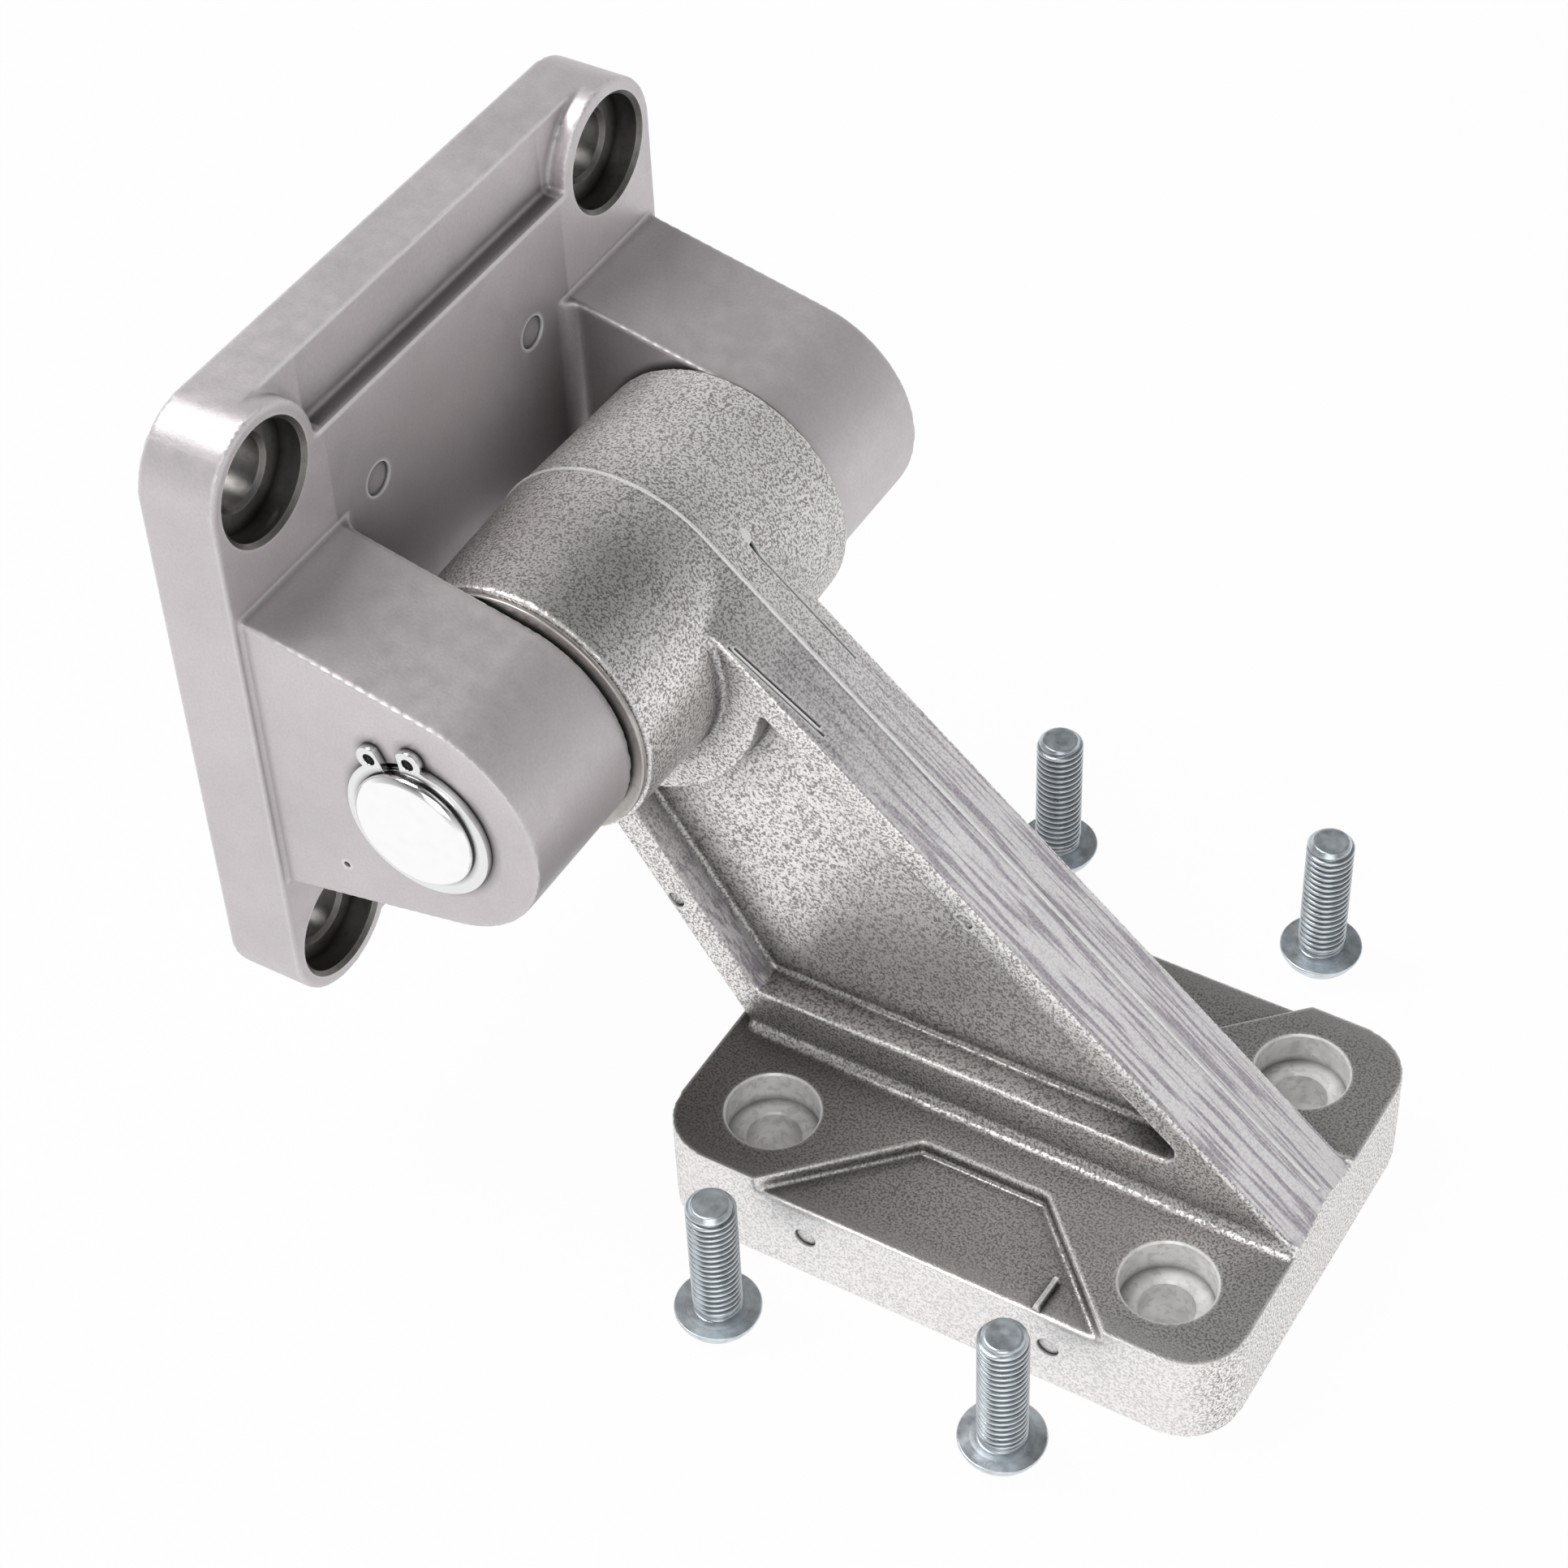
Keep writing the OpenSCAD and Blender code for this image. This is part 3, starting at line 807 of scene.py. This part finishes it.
class SWIVEL_OT_camera(bpy.types.Operator):
    """Sets the camera to the photograph's point of view"""

    bl_idname = "swivel.camera"
    bl_label = "Camera"

    def execute(self, context):
        settings = context.scene.swivel_stage
        data = bpy.data.cameras.new("camera")
        data.lens = settings.lens
        data.sensor_width = 36
        data.clip_start = 0.01
        data.clip_end = 20
        camera = new_piece("camera", data)
        heading, dip, roll = settings.heading, settings.dip, settings.roll
        ahead = Vector((math.cos(heading) * math.cos(dip), math.sin(heading) * math.cos(dip),
                        -math.sin(dip)))
        level = Vector((math.sin(heading), -math.cos(heading), 0))
        upright = level.cross(ahead)
        right = level * math.cos(roll) + upright * math.sin(roll)
        up = upright * math.cos(roll) - level * math.sin(roll)
        turn = Matrix((right, up, -ahead)).transposed()
        camera.matrix_world = Matrix.Translation(settings.eye) @ turn.to_4x4()
        context.scene.camera = camera
        return {"FINISHED"}


def bored(start, end, radius, wide, depth, edge):
    """The profile of a hole from start to end with a counterbore and a break at each of its edges."""
    floor = end - depth
    return [(start - BEYOND, 0), (start - BEYOND, radius + edge + BEYOND), (start + edge, radius),
            (floor - edge, radius), (floor, radius + edge), (floor, wide), (end - edge, wide),
            (end + BEYOND, wide + edge + BEYOND), (end + BEYOND, 0)]


def mark(surface, outward, radius, depth):
    """The profile of a shallow round mark in a surface, where outward is +1 or -1."""
    return body(surface - outward * depth, surface + outward * BEYOND, radius)


class SWIVEL_OT_fork(bpy.types.Operator):
    """Makes the die-cast clevis fork with its soft edges and cut bores"""

    bl_idname = "swivel.fork"
    bl_label = "Clevis fork"

    mouth = 0.7 * MM
    bore_mouth = 0.7 * MM
    recess_mouth = 0.9 * MM
    plate_marks = ((-20.4, 27.3), (20.5, 26.2))
    plate_mark_r = 2.75 * MM
    pit = (-87.5, 77.4)
    pit_r = 0.6 * MM

    def execute(self, context):
        scene = context.scene
        form = scene.swivel_fork
        skin = scene.swivel_skin
        finish = scene.swivel_finish
        back = FORK_LOW.x
        front = back + form.plate
        wide = form.counterbore / 2
        recess = MOUNTS["centring_recess"]
        recess_r = recess["dims"]["r_mm"] * MM
        recess_end = back + form.recess_depth
        bore = form.pin_bore / 2
        lead = self.bore_mouth
        over = form.lug_over / 2
        closed = body(back, front, wide + self.mouth + PLUG_OVERLAP)
        plugs = [(closed, spot, 0) for spot in PLATE_HOLES]
        closed = body(back, recess_end + PLUG_OVERLAP, recess_r + self.recess_mouth + PLUG_OVERLAP)
        plugs.append((closed, PIN_AXIS, 0))
        for side in (-1, 1):
            lug = body(side * form.lug_gap / 2, side * over, bore + lead + PLUG_OVERLAP)
            plugs.append((lug, PIN_AXIS, 1))
        piece = cast("fork", "fork_casting", plugs, skin)
        paint(piece,
              satin_casting("satin casting", tuple(finish.fork_colour), form.lug_gap / 2),
              cut_metal("cut aluminium with painted shade", tuple(finish.cut_face_shade_colour)),
              cut_metal("turned recess", lighter(finish.fork_colour, 0.9), metallic=0.8))
        hole = MOUNTS["cylinder_holes"]["dims"]["hole_r_mm"] * MM
        profile = bored(back, front, hole, wide, form.counterbore_depth, self.mouth)
        cuts = [(profile, spot, 0) for spot in PLATE_HOLES]
        cuts.append(([(-over - BEYOND, 0), (-over - BEYOND, bore + lead + BEYOND), (-over + lead, bore),
                      (over - lead, bore), (over + BEYOND, bore + lead + BEYOND), (over + BEYOND, 0)],
                     PIN_AXIS, 1))
        machine(piece, cuts, 1)
        profile = [(back - BEYOND, 0), (back - BEYOND, recess_r + self.recess_mouth + BEYOND),
                   (back + self.recess_mouth, recess_r), (recess_end, recess_r), (recess_end, 0)]
        machine(piece, [(profile, PIN_AXIS, 0)], 2)
        profile = mark(front, 1, self.plate_mark_r, skin.mark_depth)
        marks = [(profile, PIN_AXIS + Vector((0, y, z)) * MM, 0) for y, z in self.plate_marks]
        pit_x, pit_z = self.pit
        profile = mark(-over, -1, self.pit_r, skin.mark_depth)
        marks.append((profile, Vector((pit_x * MM, -over, pit_z * MM)), 1))
        machine(piece, marks, 0)
        smooth(piece, sharp=34)
        dressed(piece, "fork", "fork", "fork")
        return {"FINISHED"}


class SWIVEL_OT_bracket(bpy.types.Operator):
    """Makes the rough cast angle bracket with its cut holes"""

    bl_idname = "swivel.bracket"
    bl_label = "Angle bracket"

    side_marks = ((-21.5, 9.3), (21.5, 9.0))
    side_mark_r = 1.9 * MM
    arm_marks = ((-8.0, 63.3), (-60.3, 41.6))
    arm_mark_r = 1.5 * MM
    grooves = (((-47.87, -9.12, 101.39), (-32.64, -7.75, 88.96)),
               ((-47.2, -8.5, 101.0), (-33.6, -7.2, 89.9)),
               ((-55.74, 6.64, 108.81), (-35.43, 6.70, 91.65)))
    groove_form = (0.5 * MM, 0.1 * MM, 0.35 * MM, 0.6 * MM)
    rib = ((19.3, -30.4, 15.9), (19.0, -36.9, 15.9))
    rib_form = (0.8 * MM, 0.35 * MM, 1.2 * MM, 0.5 * MM)
    crest_form = (0.55 * MM, 0.2 * MM, 0.3 * MM, 0.6 * MM)

    def execute(self, context):
        scene = context.scene
        form = scene.swivel_bracket
        skin = scene.swivel_skin
        finish = scene.swivel_finish
        wide = form.counterbore / 2
        hole = MOUNTS["foot_holes"]["dims"]["hole_r_mm"] * MM
        bore = form.bush_bore / 2
        half = form.eye_width / 2
        closed = body(0, form.foot, wide + PLUG_OVERLAP)
        plugs = [(closed, spot, 2) for spot in FOOT_HOLES]
        plugs.append((body(-half, half, bore + PLUG_OVERLAP), PIN_AXIS, 1))
        piece = cast("angle_bracket", "bracket_casting", plugs, skin)
        paint(piece,
              rough_casting("rough casting", finish, form.slope),
              cut_metal("zinc-coated bore", tuple(finish.bore_colour), tool=0.8, metallic=0.2,
                        stained=0.5))
        profile = bored(0, form.foot, hole, wide, form.counterbore_depth, skin.machined_edge)
        cuts = [(profile, spot, 2) for spot in FOOT_HOLES]
        cuts.append((body(-half - BEYOND, half + BEYOND, bore), PIN_AXIS, 1))
        machine(piece, cuts, 1)
        self.crest(piece)
        self.lines(piece)
        near = FOOT_LOW.y
        flange = -form.arm / 2
        marks = []
        for surface, radius, spots in ((near, self.side_mark_r, self.side_marks),
                                       (flange, self.arm_mark_r, self.arm_marks)):
            profile = mark(surface, -1, radius, skin.mark_depth)
            marks += [(profile, Vector((x * MM, surface, z * MM)), 1) for x, z in spots]
        machine(piece, marks, 0)
        smooth(piece, sharp=34)
        dressed(piece, "bracket", "angle_bracket", "angle_bracket")
        return {"FINISHED"}

    def lines(self, piece):
        """Shallow grooves beside the crest of the front flange and the short rib in the near dip."""
        slope = bpy.context.scene.swivel_bracket.slope
        inward = Vector((math.sin(slope), 0, -math.cos(slope)))
        bm = bmesh.new()
        for ends in self.grooves:
            strip(bm, [Vector(end) * MM for end in ends], [inward] * 2, *self.groove_form)
        combine(piece, tool_of(bm, piece, 0), "DIFFERENCE")
        bm = bmesh.new()
        strip(bm, [Vector(end) * MM for end in self.rib], [Vector((0, 0, 1))] * 2, *self.rib_form)
        combine(piece, tool_of(bm, piece, 0), "UNION")

    def crest(self, piece):
        """The crisp line where the two halves of the mould met, along the flanges and round the eye."""
        outline = section("angle_bracket")
        foot = bpy.context.scene.swivel_bracket.foot
        area = sum(a.x * b.z - b.x * a.z for a, b in zip(outline, outline[1:] + outline[:1]))
        if area < 0:
            outline.reverse()
        count = len(outline)
        keep = [point.z > foot + 0.8 * MM and point.x < FOOT_HIGH.x - 1 * MM for point in outline]
        start = next(i for i in range(count) if keep[i] and not keep[i - 1])
        path = []
        outward = []
        index = start
        while keep[index % count]:
            before, point, after = (outline[(index + step) % count] for step in (-1, 0, 1))
            ahead = (after - before).normalized()
            path.append(point)
            outward.append(Vector((ahead.z, 0, -ahead.x)))
            index += 1
        bm = bmesh.new()
        strip(bm, path, outward, *self.crest_form)
        combine(piece, tool_of(bm, piece, 0), "UNION")


class SWIVEL_OT_bushes(bpy.types.Operator):
    """Makes the two collared bushes in the eye"""

    bl_idname = "swivel.bushes"
    bl_label = "Bushes"

    def execute(self, context):
        edge = context.scene.swivel_skin.machined_edge
        metal = cut_metal("bush metal", tuple(context.scene.swivel_finish.bush_colour), tool=0.3)
        for node in ("bush_near", "bush_far"):
            piece = copy_of(node, node + "_turned")
            round_edges(piece, edge)
            paint(piece, metal)
            smooth(piece)
            dressed(piece, "bracket", "bush", node)
        return {"FINISHED"}


class SWIVEL_OT_pin(bpy.types.Operator):
    """Makes the ground clevis pin and its two retaining rings"""

    bl_idname = "swivel.pin"
    bl_label = "Pin and rings"

    def execute(self, context):
        skin = context.scene.swivel_skin
        finish = context.scene.swivel_finish
        steel = ground_steel("ground steel", tuple(finish.steel_colour))
        spring = ground_steel("spring steel", lighter(finish.steel_colour, 0.85))
        pin = copy_of("clevis_pin", "ground_pin")
        round_edges(pin, skin.machined_edge, sharp=30)
        paint(pin, steel)
        smooth(pin)
        dressed(pin, "pin", "clevis_pin", "clevis_pin")
        for node in ("retaining_ring_near", "retaining_ring_far"):
            ring = copy_of(node, node + "_spring")
            round_edges(ring, skin.ring_edge)
            paint(ring, spring)
            smooth(ring)
            dressed(ring, "pin", "retaining_ring", node)
        return {"FINISHED"}


class SWIVEL_OT_screws(bpy.types.Operator):
    """Makes the four loose button head screws, each standing on its head"""

    bl_idname = "swivel.screws"
    bl_label = "Button head screws"

    columns = 48
    rows_per_turn = 12
    turn_between = 1.9

    def execute(self, context):
        settings = context.scene.swivel_screw
        plating = zinc_plate("zinc plating", tuple(context.scene.swivel_finish.zinc_colour))
        for number in range(1, 5):
            node = f"cap_screw_{number}"
            low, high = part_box(node)
            mesh = self.screw_mesh(node, high - low, settings)
            piece = new_piece(node + "_threaded", mesh)
            spot = (low + high) / 2
            turn = Matrix.Rotation(number * self.turn_between, 4, "Z")
            mesh.transform(Matrix.Translation((spot.x, spot.y, low.z)) @ turn)
            paint(piece, plating)
            smooth(piece)
            dressed(piece, f"screw_{number}", "cap_screw", node)
        return {"FINISHED"}

    def ring(self, bm, radius, height):
        """One level row of points. The radius may be a function of the angle."""
        points = []
        for column in range(self.columns):
            angle = 2 * math.pi * column / self.columns
            r = radius(angle) if callable(radius) else radius
            points.append(bm.verts.new((r * math.cos(angle), r * math.sin(angle), height)))
        return points

    def screw_mesh(self, name, size, settings):
        """One closed mesh: hexagon socket, domed head, neck, thread and coned tip."""
        head_r = size.x / 2
        crest = settings.diameter / 2
        root = crest - settings.depth
        neck = root + 0.15 * MM
        across = settings.socket / 2
        head = settings.head_height
        rim = head - settings.rim
        flat = settings.flat / 2
        dome_z = (head_r ** 2 + rim ** 2 - flat ** 2) / (2 * rim)
        dome_r = math.hypot(flat, dome_z)
        washer_r = 5.0 * MM
        washer_step = 0.12 * MM
        edge = 0.25 * MM
        fillet = 0.6 * MM
        sixth = math.pi / 3

        def hexagon(angle):
            return across / math.cos((angle + sixth / 2) % sixth - sixth / 2)

        rows = [(hexagon, settings.socket_depth), (hexagon, 0.3 * MM), (across * 1.19, 0.0),
                (flat - edge, 0.0)]
        first = math.asin(flat / dome_r)
        last = math.asin(head_r / dome_r)
        for step in range(13):
            turn = first + (last - first) * step / 12
            rows.append((dome_r * math.sin(turn), dome_z - dome_r * math.cos(turn)))
        top = head - washer_step
        for step in range(4):
            turn = math.pi / 2 * step / 3
            rows.append((head_r - edge * (1 - math.cos(turn)), top - edge * (1 - math.sin(turn))))
        rows += [(washer_r + washer_step, top), (washer_r, head)]
        for step in range(5):
            turn = math.pi / 2 * step / 4
            rows.append((neck + fillet * (1 - math.sin(turn)), head + fillet * (1 - math.cos(turn))))
        bm = bmesh.new()
        rings = [self.ring(bm, radius, height) for radius, height in rows]
        centre = bm.verts.new((0, 0, settings.socket_depth + 0.4 * MM))
        count = self.columns
        for column in range(count):
            following = (column + 1) % count
            bm.faces.new((centre, rings[0][following], rings[0][column]))
            for lower, upper in zip(rings, rings[1:]):
                bm.faces.new((lower[column], lower[following], upper[following], upper[column]))
        self.thread(bm, neck, crest, root, head + fillet, size.z, settings)
        bmesh.ops.remove_doubles(bm, verts=bm.verts, dist=0.0005 * MM)
        bmesh.ops.dissolve_degenerate(bm, edges=bm.edges, dist=0.0005 * MM)
        bmesh.ops.recalc_face_normals(bm, faces=bm.faces)
        mesh = bpy.data.meshes.new(name + "_threaded")
        bm.to_mesh(mesh)
        bm.free()
        return mesh

    def thread(self, bm, neck_r, crest, root, bottom, top, settings):
        """Helical rows from the neck up to the cone, each at one place on the thread's profile."""
        pitch = settings.pitch
        per_turn = self.rows_per_turn
        count = self.columns
        turns = math.ceil((top - bottom) / pitch) + 1
        tip_r = crest - settings.tip

        def radius(phase, height):
            rise = min(1.0, max(0.0, 1.35 - abs(phase - 0.5) * 4.2))
            r = root + (crest - root) * rise
            start = min(1.0, (height - bottom) / pitch)
            r = neck_r + (r - neck_r) * start
            return min(r, tip_r + (top - height))

        columns = []
        for column in range(count):
            angle = 2 * math.pi * column / count
            line = []
            for row in range(turns * per_turn + 1):
                height = bottom + (row / per_turn + column / count - 1) * pitch
                height = min(top, max(bottom, height))
                r = radius((row % per_turn) / per_turn, height)
                line.append(bm.verts.new((r * math.cos(angle), r * math.sin(angle), height)))
            columns.append(line)
        for column in range(count):
            shift = per_turn if column == count - 1 else 0
            left = columns[column]
            right = columns[(column + 1) % count]
            for row in range(len(left) - 1):
                if row + shift + 1 < len(right):
                    bm.faces.new((left[row], right[row + shift], right[row + shift + 1], left[row + 1]))
        rim = self.ring(bm, tip_r - 0.4 * MM, top)
        edge = self.ring(bm, tip_r, top)
        middle = bm.verts.new((0, 0, top - 0.15 * MM))
        for column in range(count):
            following = (column + 1) % count
            bm.faces.new((edge[column], edge[following], rim[following], rim[column]))
            bm.faces.new((rim[column], rim[following], middle))


class SWIVEL_PT_panel(bpy.types.Panel):
    """Lists the pieces and their settings"""

    bl_label = "Swivel Fastener"
    bl_idname = "SWIVEL_PT_panel"
    bl_space_type = "VIEW_3D"
    bl_region_type = "UI"
    bl_category = "Swivel"

    def draw(self, context):
        scene = context.scene
        for group in (getattr(scene, name) for name in SETTINGS):
            box = self.layout.box()
            for name in group.bl_rna.properties.keys():
                if name not in ("rna_type", "name"):
                    box.prop(group, name)
        for operator in OPERATORS:
            self.layout.operator(operator.bl_idname)


OPERATORS = (SWIVEL_OT_camera, SWIVEL_OT_stage, SWIVEL_OT_fork, SWIVEL_OT_bracket,
             SWIVEL_OT_bushes, SWIVEL_OT_pin, SWIVEL_OT_screws)
SETTINGS = {"swivel_skin": SwivelSkin, "swivel_fork": SwivelFork, "swivel_bracket": SwivelBracket,
            "swivel_finish": SwivelFinish, "swivel_screw": SwivelScrew, "swivel_stage": SwivelStage}


def register():
    for cls in (*SETTINGS.values(), *OPERATORS, SWIVEL_PT_panel):
        bpy.utils.register_class(cls)
    for name, group in SETTINGS.items():
        setattr(bpy.types.Scene, name, bpy.props.PointerProperty(type=group))


def unregister():
    for name in SETTINGS:
        delattr(bpy.types.Scene, name)
    for cls in reversed((*SETTINGS.values(), *OPERATORS, SWIVEL_PT_panel)):
        bpy.utils.unregister_class(cls)


def main():
    register()
    bpy.ops.swivel.camera()
    bpy.ops.swivel.stage()
    bpy.ops.swivel.fork()
    bpy.ops.swivel.bracket()
    bpy.ops.swivel.bushes()
    bpy.ops.swivel.pin()
    bpy.ops.swivel.screws()
    bpy.context.view_layer.update()


if __name__ == "__main__":
    main()
